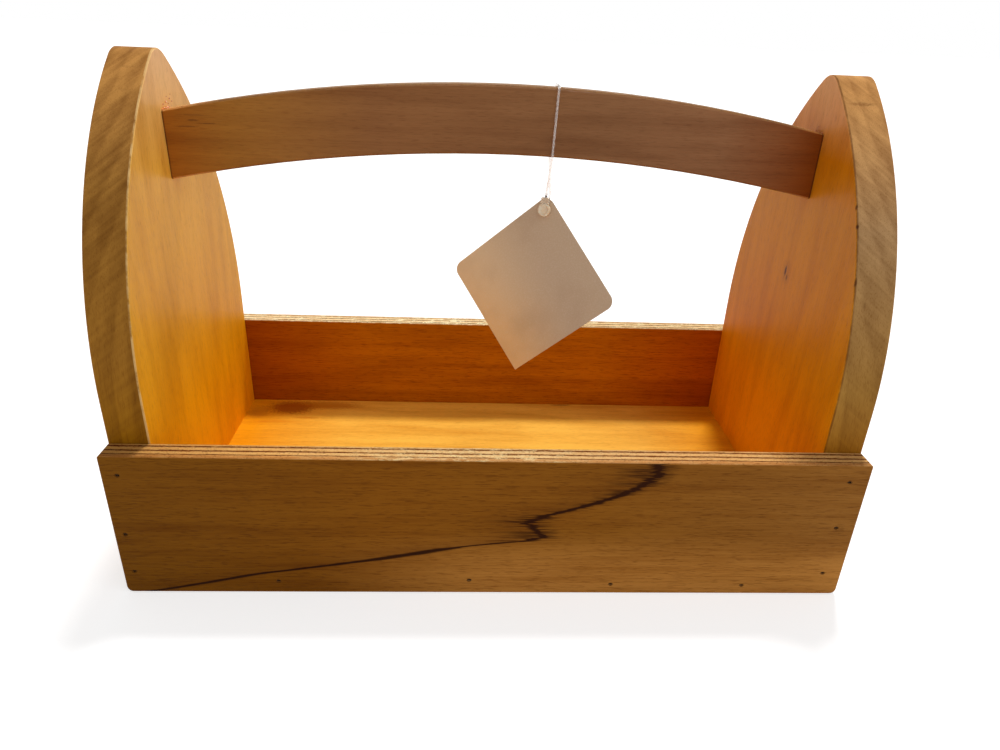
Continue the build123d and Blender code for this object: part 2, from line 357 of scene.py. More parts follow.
# Face and rim colours are given at heights in metres, and they hold painted light and shade: the faces are
# paler and pinker from the handle's top upwards and deeper orange low in the tray, and the rims are
# lighter towards their tips.
# A spot is its centre and its reach in millimetres, its depth and its colour.
leftEnd = {
    "side": -1,
    "face": [(0.02, linear(255, 172, 4)), (0.07, linear(253, 178, 14)), (0.11, linear(241, 175, 40)),
             (0.19, linear(246, 186, 70)), (0.215, linear(248, 192, 104)), (0.24, linear(248, 192, 130))],
    "rim": [(0.07, linear(171, 113, 1)), (0.12, linear(174, 119, 41)), (0.19, linear(170, 119, 51)),
            (0.235, linear(198, 141, 72))],
    "rimTint": (0.50, 0.42, 0.32, 1),
    "outside": linear(224, 156, 74),
    # a pale line along the inner arris, a painted highlight
    "arrisHighlightAndTear": linear(244, 204, 138),
    "arrisDepth": 0.70,
    "coat": 0.12,
    "spots": [((-168, -24, 234.5), (9, 12, 1.3), 0.75, linear(98, 56, 20)),
              ((-169, -30, 229.5), (8, 12, 0.9), 0.70, linear(98, 56, 20)),
              ((-167, -34, 225.6), (9, 12, 0.9), 0.60, linear(98, 56, 20)),
              ((-171, -40, 219.5), (7, 12, 0.8), 0.45, linear(98, 56, 20))],
    "lean": -0.020,
    "shift": 0.31,
}

rightEnd = {
    "side": 1,
    "face": [(0.02, linear(255, 164, 1)), (0.07, linear(252, 156, 2)), (0.11, linear(232, 148, 10)),
             (0.18, linear(221, 145, 30)), (0.205, linear(220, 134, 12)), (0.24, linear(255, 184, 118))],
    "rim": [(0.07, linear(174, 110, 2)), (0.11, linear(186, 137, 64)), (0.18, linear(192, 150, 102)),
            (0.235, linear(214, 156, 90))],
    "rimTint": (0.56, 0.48, 0.40, 1),
    "outside": linear(212, 142, 62),
    "arrisHighlightAndTear": linear(110, 62, 24),
    "arrisDepth": 0.55,
    "coat": 0.08,
    "spots": [((158.75, 2.6, 142.6), (3, 6.5, 9.0), 0.28, linear(150, 84, 24)),
              ((158.75, 3.4, 143.0), (3, 1.5, 3.6), 0.90, linear(70, 34, 12)),
              ((158.75, 0.6, 140.2), (3, 1.2, 2.2), 0.70, linear(84, 42, 14)),
              ((158.9, -56.5, 182.4), (1.0, 1.3, 1.6), 0.90, linear(70, 36, 14)),
              ((159.0, -51.8, 190.6), (0.7, 1.0, 3.0), 0.80, linear(84, 46, 20)),
              ((159.0, -66.6, 160.0), (0.8, 1.0, 4.5), 0.75, linear(84, 46, 18)),
              ((165.0, -44.9, 187.8), (1.7, 6, 1.1), 0.90, linear(84, 50, 24)),
              ((168.0, -25.0, 230.7), (9.5, 12, 1.3), 0.75, linear(124, 74, 30)),
              ((164.0, -64.0, 150.0), (0.9, 9, 3.5), 0.60, linear(110, 72, 38))],
    "lean": 0.024,
    "shift": -0.27,
}

boardGrain = {
    "ringWidth": 0.0085,
    "wander": 0.014,
    "pithBehind": 0.085,  # how far behind each board the pith lay
    "pithLean": 0.055,
    "tint": (0.74, 0.62, 0.44, 1),
    "poreTint": (0.62, 0.48, 0.30, 1),
    "poreDepth": 0.40,
    "faceTone": {"base": 0.13, "figure": 0.20, "bands": 0.9, "streaks": 0.34, "blotches": 1.4},
    "rimTone": {"base": 0.26, "figure": 0.32, "bands": 0.8, "streaks": 0.35, "blotches": 0.9},
    # saw marks on the rims: the sine and cosine of their slant, and their size in metres
    "sawSlant": (0.62, 0.78),
    "sawSize": (0.0019, 0.045, 0.045),
    "specular": 0.06,
    "coatRough": 0.24,
    "bump": (0.35, 0.00025),  # strength and distance
    # stains round the nail heads, whose places are Y and Z in millimetres
    "stain": linear(92, 50, 18),
    "stainReach": (3.0, 2.4, 1.7),
    "stainDepth": 0.85,
    "nails": [(-51.3, 8.6), (1.6, 9.9), (52.9, 9.0), (0.0, 192.1), (0.0, 207.1)],
}


def endMaterial(name, spec, wood):
    material, tree, shader, place = newMaterial(name)
    x, y, z = splitVector(tree, place)
    outer = abs(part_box(name)[0 if spec["side"] < 0 else 1].x)
    inner = outer - boardThickness
    # grain runs up the board and leans a little, so that the rings arch over its face
    behind = calc(tree, "ADD", x, -spec["side"] * (outer + wood["pithBehind"]))
    depth = calc(tree, "MULTIPLY_ADD", z, wood["pithLean"] * spec["side"], behind)
    sideways = calc(tree, "MULTIPLY_ADD", z, spec["lean"], y)
    along = vectorOf(tree, calc(tree, "ADD", z, spec["shift"]), sideways, depth)
    grain = grainOf(tree, along, wood["ringWidth"], wood["wander"])
    across = calc(tree, "ABSOLUTE", x)
    # painted light and shade: the face's colour by height is paler above the handle's top and deeper
    # orange low in the tray
    face = mixColour(tree, ramp(tree, across, inner + 0.010, inner + 0.012),
                     colourAlong(tree, z, spec["face"]), spec["outside"])
    face = shadeColour(tree, toneOf(tree, grain, wood["faceTone"]), face, wood["tint"])
    # the sawn rim is duller, with slanting saw marks that are clearest near the tip
    rim = calc(tree, "MULTIPLY", ramp(tree, across, inner + 0.0001, inner + 0.0005),
               ramp(tree, across, outer - 0.0001, outer - 0.0005))
    sine, cosine = wood["sawSlant"][0] * spec["side"], wood["sawSlant"][1]
    slant = vectorOf(tree, calc(tree, "MULTIPLY_ADD", z, cosine, calc(tree, "MULTIPLY", x, sine)),
                     calc(tree, "MULTIPLY_ADD", z, -sine, calc(tree, "MULTIPLY", x, cosine)), y)
    saw = noise(tree, slant, wood["sawSize"], 2.0, 0.5)
    marks = calc(tree, "MULTIPLY", calc(tree, "SUBTRACT", saw, 0.5),
                 ramp(tree, z, 0.12, 0.21, fromZero=0.6, toOne=1.3))
    rimTone = withinOne(tree, calc(tree, "ADD", marks, toneOf(tree, grain, wood["rimTone"])))
    # the rim's colour by height is painted lighter towards the tip, as painted light
    rimColour = shadeColour(tree, rimTone, colourAlong(tree, z, spec["rim"]), spec["rimTint"])
    colour = mixColour(tree, rim, face, rimColour)
    pores = calc(tree, "MULTIPLY", grain["Pores"], wood["poreDepth"])
    colour = shadeColour(tree, pores, colour, wood["poreTint"])
    # the inner arris: painted pale as a painted highlight on the left end, torn and dark on the right end
    arrisHighlightAndTear = calc(tree, "MULTIPLY", ramp(tree, across, inner + 0.00002, inner + 0.00012),
                 ramp(tree, across, inner + 0.0010, inner + 0.0006))
    ragged = noise(tree, place, (0.012, 0.012, 0.012), 4.0, 0.7)
    arrisHighlightAndTear = calc(tree, "MULTIPLY", arrisHighlightAndTear, ramp(tree, ragged, 0.34, 0.62, toOne=spec["arrisDepth"]))
    colour = mixColour(tree, arrisHighlightAndTear, colour, spec["arrisHighlightAndTear"])
    centres = [(spec["side"] * outer * 1000, nailY, nailZ) for nailY, nailZ in wood["nails"]]
    stain = spotsMask(tree, place, centres, wood["stainReach"])
    colour = mixColour(tree, calc(tree, "MULTIPLY", stain, wood["stainDepth"]), colour, wood["stain"])
    plug(tree, addSpots(tree, place, colour, spec["spots"]), shader.inputs["Base Color"])
    rough = calc(tree, "MULTIPLY_ADD", grain["Streaks"], 0.20, 0.36)
    plug(tree, calc(tree, "MULTIPLY_ADD", rim, 0.22, rough), shader.inputs["Roughness"])
    shader.inputs["Specular IOR Level"].default_value = wood["specular"]
    # the varnish is thin low in the tray and has soaked into the rim
    coat = ramp(tree, z, 0.05, 0.23, fromZero=0.02, toOne=spec["coat"])
    coat = calc(tree, "MULTIPLY", coat, ramp(tree, rim, 0.0, 1.0, fromZero=1.0, toOne=0.1))
    plug(tree, coat, shader.inputs["Coat Weight"])
    shader.inputs["Coat Roughness"].default_value = wood["coatRough"]
    height = calc(tree, "MULTIPLY_ADD", calc(tree, "MULTIPLY", saw, rim), 1.2, grainHeight(tree, grain))
    height = calc(tree, "MULTIPLY_ADD", arrisHighlightAndTear, -1.0, height)
    addBump(tree, shader, height, *wood["bump"])
    return material


dress("left_end_panel", endMaterial("left_end_panel", leftEnd, boardGrain))
dress("right_end_panel", endMaterial("right_end_panel", rightEnd, boardGrain))

floorBoard = {
    # painted shade: the floor is darker and more orange towards both end boards
    "along": [(-0.15, linear(238, 156, 10)), (-0.09, linear(253, 192, 74)), (0.10, linear(254, 194, 78)),
              (0.15, linear(240, 161, 20))],
    "tint": (0.78, 0.64, 0.44, 1),
    "poreTint": (0.60, 0.46, 0.30, 1),
    "poreDepth": 0.35,
    "specular": 0.06,
    "coat": 0.05,
    "coatRough": 0.24,
    "bump": (0.3, 0.0002),
    "ringWidth": 0.010,
    "wander": 0.018,
    "tone": {"base": 0.16, "figure": 0.40, "bands": 1.6, "streaks": 0.9, "blotches": 1.0},
    "spots": [((53.0, 76.5, 19.05), (10, 1.6, 3), 0.50, linear(150, 84, 26)),
              ((-131.0, 67.0, 19.05), (21, 12, 3), 0.78, linear(146, 54, 2)),
              ((-108.0, 71.0, 19.05), (32, 8, 3), 0.60, linear(182, 98, 6)),
              ((-151.0, 61.0, 19.05), (9, 12, 3), 0.40, linear(176, 112, 30)),
              ((-140.0, 48.0, 19.05), (20, 2.0, 3), 0.45, linear(214, 120, 10)),
              ((-118.0, 53.0, 19.05), (12, 1.6, 3), 0.50, linear(206, 112, 8))],
}


def floorMaterial(spec):
    material, tree, shader, place = newMaterial("floor_board")
    x, y, z = splitVector(tree, place)
    depth = calc(tree, "ADD", z, calc(tree, "MULTIPLY_ADD", x, 0.05, 0.07))
    along = vectorOf(tree, x, calc(tree, "SUBTRACT", y, 0.02), depth)
    grain = grainOf(tree, along, spec["ringWidth"], spec["wander"])
    # the colour along the floor holds painted shade towards the end boards
    colour = colourAlong(tree, x, spec["along"])
    colour = shadeColour(tree, toneOf(tree, grain, spec["tone"]), colour, spec["tint"])
    pores = calc(tree, "MULTIPLY", grain["Pores"], spec["poreDepth"])
    colour = shadeColour(tree, pores, colour, spec["poreTint"])
    plug(tree, addSpots(tree, place, colour, spec["spots"]), shader.inputs["Base Color"])
    plug(tree, calc(tree, "MULTIPLY_ADD", grain["Streaks"], 0.2, 0.36), shader.inputs["Roughness"])
    shader.inputs["Specular IOR Level"].default_value = spec["specular"]
    shader.inputs["Coat Weight"].default_value = spec["coat"]
    shader.inputs["Coat Roughness"].default_value = spec["coatRough"]
    addBump(tree, shader, grainHeight(tree, grain), *spec["bump"])
    return material


dress("floor_board", floorMaterial(floorBoard))
print("boards finished")

plies = {
    "thickness": 0.012,
    "light": linear(255, 215, 148),
    "tan": linear(206, 142, 78),
    "tornAndLit": linear(255, 232, 170),
    "dark": linear(120, 58, 2),
    "glue": linear(78, 34, 2),
    # each glue line or dark ply: millimetres from the inner face, half its width, how dark
    "lines": [(0.40, 0.35, 0.50), (2.3, 0.66, 1.0), (5.9, 0.62, 1.0), (9.1, 0.46, 0.95)],
    "tanFrom": 9.4,
    "fibreTint": (0.70, 0.56, 0.38, 1),
}


def makePlyGroup(spec):
    group, given, out = newGroup(
        "plyEdge",
        [("Vector", "NodeSocketVector", None), ("Depth", "NodeSocketFloat", 0.0),
         ("TornAndLit", "NodeSocketFloat", 0.0)],
        [("Color", "NodeSocketColor"), ("Height", "NodeSocketFloat"), ("Edge", "NodeSocketFloat")])
    vector = given["Vector"]
    thickness = spec["thickness"]
    wave = noise(group, vector, (0.060, 0.060, 0.060), 2.0, 0.6)
    fray = noise(group, vector, (0.0060, 0.0030, 0.0060), 3.0, 0.6)
    fibre = noise(group, vector, (0.0090, 0.00040, 0.0090), 3.0, 0.7)
    splinter = noise(group, vector, (0.0050, 0.0016, 0.0050), 3.0, 0.7)
    depth = swing(group, wave, 0.0009, given["Depth"])
    depth = swing(group, fray, 0.0009, depth)
    darkness = None
    for at, half, deep in spec["lines"]:
        away = calc(group, "ABSOLUTE", calc(group, "SUBTRACT", depth, at / 1000))
        line = ramp(group, away, 1.5 * half / 1000, 0.4 * half / 1000, toOne=deep)
        darkness = line if darkness is None else calc(group, "MAXIMUM", darkness, line)
    # the lines fade where torn fibres lie over them
    darkness = calc(group, "MULTIPLY", darkness, ramp(group, splinter, 0.34, 0.46, fromZero=0.60))
    tanFrom = spec["tanFrom"] / 1000
    base = mixColour(group, ramp(group, depth, tanFrom, tanFrom + 0.0008, toOne=0.7), spec["light"],
                     spec["tan"])
    base = shadeColour(group, ramp(group, fibre, 0.38, 0.78), base, spec["fibreTint"])
    colour = mixColour(group, darkness, base, spec["dark"])
    # pale torn fibres cover the lines, and the same pale colour paints a highlight where the share is
    # raised
    tornAndLitMask = calc(group, "MULTIPLY", ramp(group, splinter, 0.48, 0.66), given["TornAndLit"])
    colour = mixColour(group, tornAndLitMask, colour, spec["tornAndLit"])
    pits = noise(group, vector, (0.0011, 0.0007, 0.0011), 2.0, 0.6)
    pitMask = calc(group, "MULTIPLY", ramp(group, pits, 0.54, 0.66),
                   calc(group, "MULTIPLY_ADD", darkness, 0.45, 0.35))
    plug(group, mixColour(group, pitMask, colour, spec["glue"]), out["Color"])
    height = calc(group, "MULTIPLY_ADD", darkness, -0.6, fibre)
    plug(group, calc(group, "MULTIPLY_ADD", pitMask, -0.8, height), out["Height"])
    edge = calc(group, "MULTIPLY", ramp(group, given["Depth"], 0.00012, 0.0004),
                ramp(group, given["Depth"], thickness - 0.00012, thickness - 0.0004))
    plug(group, edge, out["Edge"])
    return group


plyEdge = makePlyGroup(plies)


def plyHeight(tree, grain, edge):
    # the plies stand out more than the grain of the face
    plyRelief = calc(tree, "MULTIPLY", edge["Height"], edge["Edge"])
    return calc(tree, "MULTIPLY_ADD", plyRelief, 2.5, grainHeight(tree, grain))


panels = {
    # along the tote, left to right
    "outside": [(-0.178, linear(130, 80, 14)), (-0.05, linear(147, 88, 17)), (0.05, linear(153, 95, 25)),
                (0.178, linear(166, 110, 46))],
    "paintedBounce": linear(214, 146, 68),  # a paler sweep under the streak, painted bounce light low on the front face
    "inside": [(-0.158, linear(164, 81, 3)), (-0.08, linear(193, 115, 6)), (0.08, linear(202, 121, 7)),
               (0.158, linear(195, 101, 5))],
    "tint": (0.66, 0.56, 0.38, 1),
    "dashTint": (0.46, 0.36, 0.22, 1),
    "dashDepth": 0.55,
    "innerFace": 0.0778,  # how far from the middle of the tote
    "streak": linear(40, 10, 0),
    "halo": linear(84, 38, 4),
    "stain": linear(52, 26, 8),
    "stainReach": (1.45, 3.0, 1.35),
    "stainDepth": 0.85,
    "specular": 0.045,
    "bump": (0.35, 0.00025),
    # painted light and shade on the ply edges along the tote: the back panel's top edge is painted
    # lighter, a painted highlight, and the front panel's edge is darker towards the left end
    "edgeLightAndShade": {
        "front_panel": [(-0.178, (0.48, 0.35, 0.20, 1)), (-0.10, (0.78, 0.64, 0.47, 1)),
                        (-0.03, (0.84, 0.80, 0.78, 1)), (0.03, (0.82, 0.76, 0.74, 1)),
                        (0.10, (0.80, 0.66, 0.54, 1)), (0.178, (0.68, 0.56, 0.43, 1))],
        "back_panel": [(-0.178, (1.06, 1.20, 1.55, 1)), (0.178, (1.00, 1.06, 1.22, 1))],
    },
    # shares of pale torn fibre on the ply edges; the back panel's larger share is a painted highlight
    # along its top edge
    "tornAndLit": {"front_panel": 0.20, "back_panel": 0.75},
    "tone": {"base": 0.20, "figure": 0.20, "bands": 1.3, "streaks": 1.3, "blotches": 1.4},
}

# brad heads as X and Z in millimetres
bradSpots = {
    "front_panel": [(-170.4, 68.0), (-172.7, 35.0), (-172.3, 12.9), (168.3, 68.6), (168.3, 41.9),
                    (168.1, 13.7), (-104.2, 7.2), (-10.7, 8.2), (60.5, 5.9), (127.7, 5.5)],
    "back_panel": [(-169.4, 67.5), (-170.8, 40.6), (-169.8, 14.8), (170.2, 68.6), (169.0, 37.4),
                   (171.1, 13.4), (-121.6, 6.9), (-52.6, 7.8), (21.7, 6.3), (104.5, 7.4)],
}

# The mineral streak on the front face, for each height: X in millimetres from the left,
# how wide it is along the grain, and how far its hairs reach.
streak = {
    "height": 78.0,
    "span": 360.0,
    "start": 178.0,
    "path": [(0.0, 8.0), (0.8, 13.0), (5.5, 36.0), (11.2, 62.0), (18.3, 106.0), (24.0, 138.0),
             (28.2, 158.0), (30.2, 172.0), (31.7, 185.0), (32.5, 192.0), (34.0, 199.5),
             (35.8, 200.8), (38.5, 198.8), (40.9, 196.4), (43.1, 194.4), (46.2, 199.4),
             (50.9, 213.6), (55.7, 227.2), (62.1, 242.2), (67.9, 250.2), (71.6, 253.4),
             (74.4, 254.0), (77.9, 253.0)],
    "width": [(0.0, 4.0), (5.5, 5.0), (11.2, 5.2), (18.3, 6.4), (24.0, 8.4), (27.5, 8.4),
              (29.0, 4.0), (31.7, 4.6), (33.2, 4.6), (35.8, 3.8), (41.0, 4.4), (45.0, 5.4),
              (50.0, 4.6), (57.2, 4.4), (65.9, 5.0), (72.0, 4.6), (77.9, 4.4)],
    "hairs": [(0.0, 1.5), (18.3, 2.0), (28.0, 3.0), (31.0, 5.0), (34.0, 17.0), (44.0, 18.0),
              (49.0, 9.0), (56.0, 7.0), (62.0, 11.0), (69.0, 16.0), (77.9, 18.0)],
    "reach": 20.0,
    "combSize": (0.014, 0.014, 0.00060),
    "driftSize": (0.040, 0.040, 0.0022),
    "strandSize": (0.024, 0.024, 0.00080),
    "coreDepth": 0.95,
    "tuftDepth": 0.72,
    "haloDepth": 0.28,
}


def curveOf(tree, value, points, height, reach):
    # points are heights in millimetres and values up to reach
    node = addNode(tree, "ShaderNodeFloatCurve")
    curve = node.mapping.curves[0]
    for index, (at, amount) in enumerate(points):
        spot = (at / height, amount / reach)
        if index == 0:
            curve.points[0].location = spot
        elif index == len(points) - 1:
            curve.points[-1].location = spot
        else:
            curve.points.new(*spot)
    for point in curve.points:
        point.handle_type = "AUTO_CLAMPED"
    node.mapping.update()
    plug(tree, value, node.inputs["Value"])
    return calc(tree, "MULTIPLY", node.outputs[0], reach)


def streakMasks(tree, place, x, z, spec):
    top = spec["height"]
    rise = calc(tree, "DIVIDE", z, top / 1000, clamp=True)
    centre = curveOf(tree, rise, spec["path"], top, spec["span"])
    width = curveOf(tree, rise, spec["width"], top, spec["reach"])
    hairs = curveOf(tree, rise, spec["hairs"], top, spec["reach"])
    comb = noise(tree, place, spec["combSize"], 2.0, 0.6)
    drift = noise(tree, place, spec["driftSize"], 2.0, 0.5)
    push = calc(tree, "MULTIPLY", calc(tree, "SUBTRACT", comb, 0.5), hairs)
    push = calc(tree, "MULTIPLY", push, 0.8)
    push = swing(tree, drift, 4.0, push)
    here = calc(tree, "MULTIPLY_ADD", x, 1000.0, spec["start"])
    gap = calc(tree, "SUBTRACT", calc(tree, "ADD", here, push), centre)
    away = calc(tree, "ABSOLUTE", gap)
    core = ramp(tree, calc(tree, "DIVIDE", away, width), 0.95, 0.35)
    # hairs that follow the grain, most of them to the left
    wide = calc(tree, "MULTIPLY", hairs, calc(tree, "MULTIPLY_ADD", ramp(tree, gap, 1.0, -1.0), 0.6, 0.7))
    tuft = ramp(tree, calc(tree, "DIVIDE", away, wide), 1.1, 0.2)
    strands = noise(tree, place, spec["strandSize"], 2.0, 0.55)
    tuft = calc(tree, "MULTIPLY", tuft, ramp(tree, strands, 0.42, 0.60))
    halo = calc(tree, "MULTIPLY", ramp(tree, gap, -45.0, 0.0), ramp(tree, gap, 12.0, 0.0))
    return core, tuft, halo


def panelMaterial(name, side, spec):
    material, tree, shader, place = newMaterial(name)
    x, y, z = splitVector(tree, place)
    across = calc(tree, "MULTIPLY", y, side)
    depth = calc(tree, "SUBTRACT", across, spec["innerFace"])
    along = vectorOf(tree, calc(tree, "ADD", x, 0.4 * side), calc(tree, "ADD", z, 0.11 * side),
                     calc(tree, "ADD", y, 0.03))
    grain = grainOf(tree, along, 0.019, 0.050)
    tone = toneOf(tree, grain, spec["tone"])
    outside = colourAlong(tree, x, spec["outside"])
    if side < 0:
        # painted bounce light: the front face is painted paler low down, from the middle rightwards
        paintedBounce = calc(tree, "MULTIPLY", ramp(tree, z, 0.042, 0.010), ramp(tree, x, -0.10, 0.02))
        outside = mixColour(tree, calc(tree, "MULTIPLY", paintedBounce, 0.8), outside, spec["paintedBounce"])
    inside = colourAlong(tree, x, spec["inside"])
    face = mixColour(tree, ramp(tree, depth, 0.004, 0.008), inside, outside)
    face = shadeColour(tree, tone, face, spec["tint"])
    face = shadeColour(tree, calc(tree, "MULTIPLY", grain["Pores"], spec["dashDepth"]), face,
                       spec["dashTint"])
    if side < 0:
        core, tuft, halo = streakMasks(tree, place, x, z, streak)
        front = ramp(tree, depth, 0.0105, 0.0115)
        dark = calc(tree, "MAXIMUM", calc(tree, "MULTIPLY", core, streak["coreDepth"]),
                    calc(tree, "MULTIPLY", tuft, streak["tuftDepth"]))
        glow = calc(tree, "MULTIPLY", calc(tree, "MULTIPLY", halo, front), streak["haloDepth"])
        face = mixColour(tree, glow, face, spec["halo"])
        face = mixColour(tree, calc(tree, "MULTIPLY", dark, front), face, spec["streak"])
    centres = [(bradX, side * 89.8, bradZ) for bradX, bradZ in bradSpots[name]]
    stain = spotsMask(tree, place, centres, spec["stainReach"])
    face = mixColour(tree, calc(tree, "MULTIPLY", stain, spec["stainDepth"]), face, spec["stain"])
    tornAndLit = calc(tree, "MULTIPLY", ramp(tree, x, -0.075, -0.040), ramp(tree, x, 0.045, 0.015))
    edge = useGroup(tree, plyEdge, {"Vector": place, "Depth": depth,
                                    "TornAndLit": calc(tree, "MULTIPLY_ADD", tornAndLit, 0.60, spec["tornAndLit"][name])})
    # painted light and shade multiply the ply edge's colour along the tote
    paintedEdgeLighting = colourAlong(tree, x, spec["edgeLightAndShade"][name])
    edgeColour = mixColour(tree, 1.0, edge["Color"], paintedEdgeLighting, "MULTIPLY")
    plug(tree, mixColour(tree, edge["Edge"], face, edgeColour), shader.inputs["Base Color"])
    rough = calc(tree, "MULTIPLY_ADD", grain["Streaks"], 0.18, 0.44)
    plug(tree, calc(tree, "MULTIPLY_ADD", edge["Edge"], 0.2, rough), shader.inputs["Roughness"])
    shader.inputs["Specular IOR Level"].default_value = spec["specular"]
    addBump(tree, shader, plyHeight(tree, grain, edge), *spec["bump"])
    return material


dress("front_panel", panelMaterial("front_panel", -1, panels))
dress("back_panel", panelMaterial("back_panel", 1, panels))

handleWood = {
    "along": [(-0.159, linear(168, 101, 25)), (-0.13, linear(169, 111, 38)), (-0.06, linear(152, 100, 56)),
              (0.05, linear(150, 103, 65)), (0.11, linear(158, 108, 70)), (0.159, linear(145, 71, 5))],
    "tint": (0.62, 0.52, 0.42, 1),
    "dashTint": (0.50, 0.40, 0.30, 1),
    "dashDepth": 0.30,
    "specular": 0.15,
    "bump": (0.35, 0.00025),
    "joint": linear(44, 22, 8),
    # painted highlight: the handle's top edge is painted lighter near both ends than between them
    "edgeLightAndShade": [(-0.159, (0.95, 0.80, 0.62, 1)), (-0.146, (0.85, 0.68, 0.48, 1)),
                  (-0.132, (0.40, 0.31, 0.20, 1)), (0.140, (0.40, 0.31, 0.20, 1)),
                  (0.159, (0.80, 0.60, 0.42, 1))],
    "spots": [((-145.0, -6.0, 211.5), (3.6, 3, 0.8), 0.42, linear(66, 34, 12)),
              ((-148.0, -6.0, 208.6), (7.0, 3, 0.5), 0.45, linear(84, 46, 16)),
              ((-138.0, -6.0, 210.2), (7.0, 3, 0.45), 0.50, linear(78, 42, 16)),
              ((-144.0, -6.0, 213.8), (9.0, 3, 0.5), 0.35, linear(84, 46, 16))],
    "tone": {"base": 0.20, "figure": 0.22, "bands": 1.3, "streaks": 0.7, "blotches": 1.1},
}


def handleMaterial(spec):
    material, tree, shader, place = newMaterial("handle")
    x, y, z = splitVector(tree, place)
    depth = calc(tree, "MULTIPLY_ADD", y, -1.0, 0.006)
    along = vectorOf(tree, x, calc(tree, "SUBTRACT", z, 0.11), calc(tree, "ADD", y, 0.06))
    grain = grainOf(tree, along, 0.014, 0.034)
    face = colourAlong(tree, x, spec["along"])
    face = shadeColour(tree, toneOf(tree, grain, spec["tone"]), face, spec["tint"])
    face = shadeColour(tree, calc(tree, "MULTIPLY", grain["Pores"], spec["dashDepth"]), face,
                       spec["dashTint"])
    face = addSpots(tree, place, face, spec["spots"])
    edge = useGroup(tree, plyEdge, {"Vector": place, "Depth": depth, "TornAndLit": 0.2})
    # painted light and shade multiply the ply edge's colour along the handle
    paintedEdgeLighting = colourAlong(tree, x, spec["edgeLightAndShade"])
    edgeColour = mixColour(tree, 1.0, edge["Color"], paintedEdgeLighting, "MULTIPLY")
    colour = mixColour(tree, edge["Edge"], face, edgeColour)
    # glue and finish have darkened the joints with the ends
    joint = ramp(tree, calc(tree, "ABSOLUTE", x), 0.1577, 0.1586, toOne=0.70)
    plug(tree, mixColour(tree, joint, colour, spec["joint"]), shader.inputs["Base Color"])
    plug(tree, calc(tree, "MULTIPLY_ADD", grain["Streaks"], 0.2, 0.42), shader.inputs["Roughness"])
    shader.inputs["Specular IOR Level"].default_value = spec["specular"]
    addBump(tree, shader, plyHeight(tree, grain, edge), *spec["bump"])
    return material


dress("handle", handleMaterial(handleWood))
print("plywood finished")

steel = {"bright": linear(70, 56, 44), "dark": linear(26, 18, 12)}


def steelMaterial(spec):
    material, tree, shader, place = newMaterial("brad_steel")
    tarnish = noise(tree, place, (0.0009, 0.0009, 0.0009), 3.0, 0.6)
    colour = mixColour(tree, ramp(tree, tarnish, 0.35, 0.65), spec["bright"], spec["dark"])
    plug(tree, colour, shader.inputs["Base Color"])
    shader.inputs["Metallic"].default_value = 1.0
    plug(tree, ramp(tree, tarnish, 0.3, 0.7, fromZero=0.35, toOne=0.6), shader.inputs["Roughness"])
    return material


bradSteel = steelMaterial(steel)
for nodeName in nodes:
    if nodeName.endswith(("_brads", "_nails")):
        dress(nodeName, bradSteel)

tagCard = {
    "lowLeft": linear(255, 200, 129),
    "upLeft": linear(246, 210, 163),
    "right": linear(208, 178, 146),
    "fibre": linear(255, 240, 220),
    "soil": linear(170, 128, 92),
}


def cardMaterial(spec):
    material, tree, shader, place = newMaterial("hang_tag")
    parts = splitVector(tree, place)
    x, z = parts[0], parts[2]
    colour = mixColour(tree, ramp(tree, z, 0.095, 0.150), spec["lowLeft"], spec["upLeft"])
    colour = mixColour(tree, ramp(tree, calc(tree, "MULTIPLY_ADD", z, 0.5, x), 0.050, 0.105), colour,
                       spec["right"])
    paper = noise(tree, place, (0.0007, 0.0007, 0.0007), 3.0, 0.6)
    cloud = noise(tree, place, (0.020, 0.020, 0.020), 2.0, 0.5)
    colour = mixColour(tree, ramp(tree, paper, 0.40, 0.80, toOne=0.15), colour, spec["fibre"])
    colour = mixColour(tree, ramp(tree, cloud, 0.45, 0.75, toOne=0.18), colour, spec["soil"])
    plug(tree, colour, shader.inputs["Base Color"])
    plug(tree, ramp(tree, cloud, 0.3, 0.7, fromZero=0.38, toOne=0.52), shader.inputs["Roughness"])
    shader.inputs["Specular IOR Level"].default_value = 0.3
    addBump(tree, shader, paper, 0.12, 0.0001)
    return material


dress("hang_tag", cardMaterial(tagCard))

# each piece: its tint, the tint of its haze, how clear it is and how rough
clearNylon = {
    "moulded_lock": (linear(255, 242, 214), linear(255, 216, 168), 0.15, 0.10),
    "lock_socket": (linear(255, 247, 234), linear(253, 238, 214), 0.80, 0.10),
    "clear_filament": (linear(255, 252, 248), linear(255, 244, 237), 0.80, 0.04),
}


def nylonMaterial(name):
    material, tree, shader, place = newMaterial(name)
    tint, haze, clear, rough = clearNylon[name]
    cloud = noise(tree, place, (0.0025, 0.0025, 0.0025), 2.0, 0.6)
    colour = mixColour(tree, ramp(tree, cloud, 0.3, 0.7), tint, haze)
    plug(tree, colour, shader.inputs["Base Color"])
    plug(tree, ramp(tree, cloud, 0.3, 0.7, fromZero=rough, toOne=rough + 0.08), shader.inputs["Roughness"])
    shader.inputs["Transmission Weight"].default_value = clear
    shader.inputs["IOR"].default_value = 1.53
    return material


# The moulded lock is turned about the axis of the tag's swing. All sizes are in millimetres.
lock = {
    "steps": 64,
    "back": 0.60,  # from the middle of the card
    # radius and rise of each point, from the middle of the back to the middle of the dish
    "profile": [(0.0, 0.0), (3.05, 0.0), (3.28, 0.12), (3.35, 0.40), (3.35, 1.60), (3.25, 2.00),
                (3.00, 2.28), (2.65, 2.40), (2.35, 2.32), (2.10, 2.12), (1.60, 2.02), (0.0, 2.00)],
    "tab": (4.5, 3.6, 1.8),  # across, up and through
    "tabUp": 4.5,
    "tabFront": 1.2,
    "tabBevel": 0.55,
}


